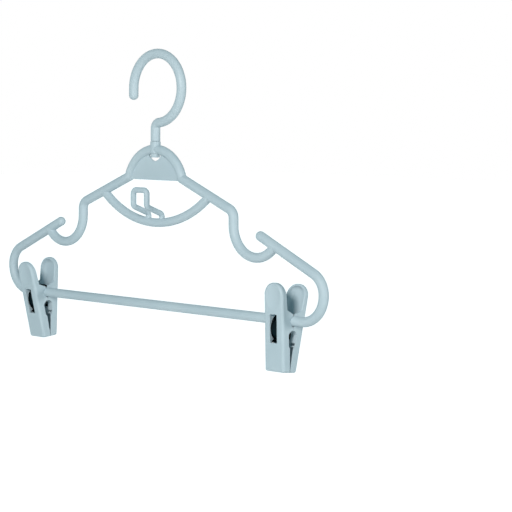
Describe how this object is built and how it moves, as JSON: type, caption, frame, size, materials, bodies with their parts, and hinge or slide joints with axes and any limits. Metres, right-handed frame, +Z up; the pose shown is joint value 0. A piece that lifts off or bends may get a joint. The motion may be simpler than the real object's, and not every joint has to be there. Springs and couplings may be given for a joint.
{
  "type": "skirt hanger",
  "caption": "Moulded plastic clip hanger with swivel hook, strap notches, scarf bar, cascade loop, trouser bar and sliding spring clips that grip a waistband.",
  "frame": {"origin": "on the swivel axis, level with the centre of the hook's bend, where the rail passes", "axes": "+X along the hanger's width, +Y towards its back, +Z up along the swivel axis"},
  "size_m": [0.3336, 0.0342, 0.2227],
  "materials": {
    "frame_plastic": "satin",
    "hook_plastic": "satin",
    "clip_plastic": "satin",
    "spring_steel": "dark"
  },
  "bodies": {
    "hook": {"swivel_hook": "hook_plastic"},
    "frame": {"hanger_frame": "frame_plastic"},
    "left_carriage": {"left_spring": "spring_steel"},
    "left_front": {"left_front_jaw": "clip_plastic"},
    "left_back": {"left_back_jaw": "clip_plastic"},
    "right_carriage": {"right_spring": "spring_steel"},
    "right_front": {"right_front_jaw": "clip_plastic"},
    "right_back": {"right_back_jaw": "clip_plastic"}
  },
  "joints": [
    {"name": "hook_swivel", "type": "hinge", "parent": "hook", "child": "frame", "pos_m": [0, 0, -0.0386], "axis": [0, 0, 1], "continuous": true},
    {"name": "left_clip_slide", "type": "slide", "parent": "frame", "child": "left_carriage", "axis": [1, 0, 0], "range_m": [-0.0046, 0.1199]},
    {"name": "left_clip_swing", "type": "hinge", "parent": "left_carriage", "child": "left_front", "pos_m": [-0.1304, 0, -0.15836], "axis": [1, 0, 0], "range_deg": [-90, 90], "deforming": ["left_spring"]},
    {"name": "left_clip_open", "type": "hinge", "parent": "left_front", "child": "left_back", "pos_m": [-0.1304, 0, -0.15836], "axis": [1, 0, 0], "range_deg": [0, 34], "stiffness_Nm_per_rad": 0.3, "springref_deg": -34.38, "deforming": ["left_spring"]},
    {"name": "right_clip_slide", "type": "slide", "parent": "frame", "child": "right_carriage", "axis": [1, 0, 0], "range_m": [-0.118, 0.0065]},
    {"name": "right_clip_swing", "type": "hinge", "parent": "right_carriage", "child": "right_front", "pos_m": [0.1282, 0, -0.15836], "axis": [1, 0, 0], "range_deg": [-90, 90], "deforming": ["right_spring"]},
    {"name": "right_clip_open", "type": "hinge", "parent": "right_front", "child": "right_back", "pos_m": [0.1282, 0, -0.15836], "axis": [1, 0, 0], "range_deg": [0, 34], "stiffness_Nm_per_rad": 0.3, "springref_deg": -34.38, "deforming": ["right_spring"]}
  ]
}
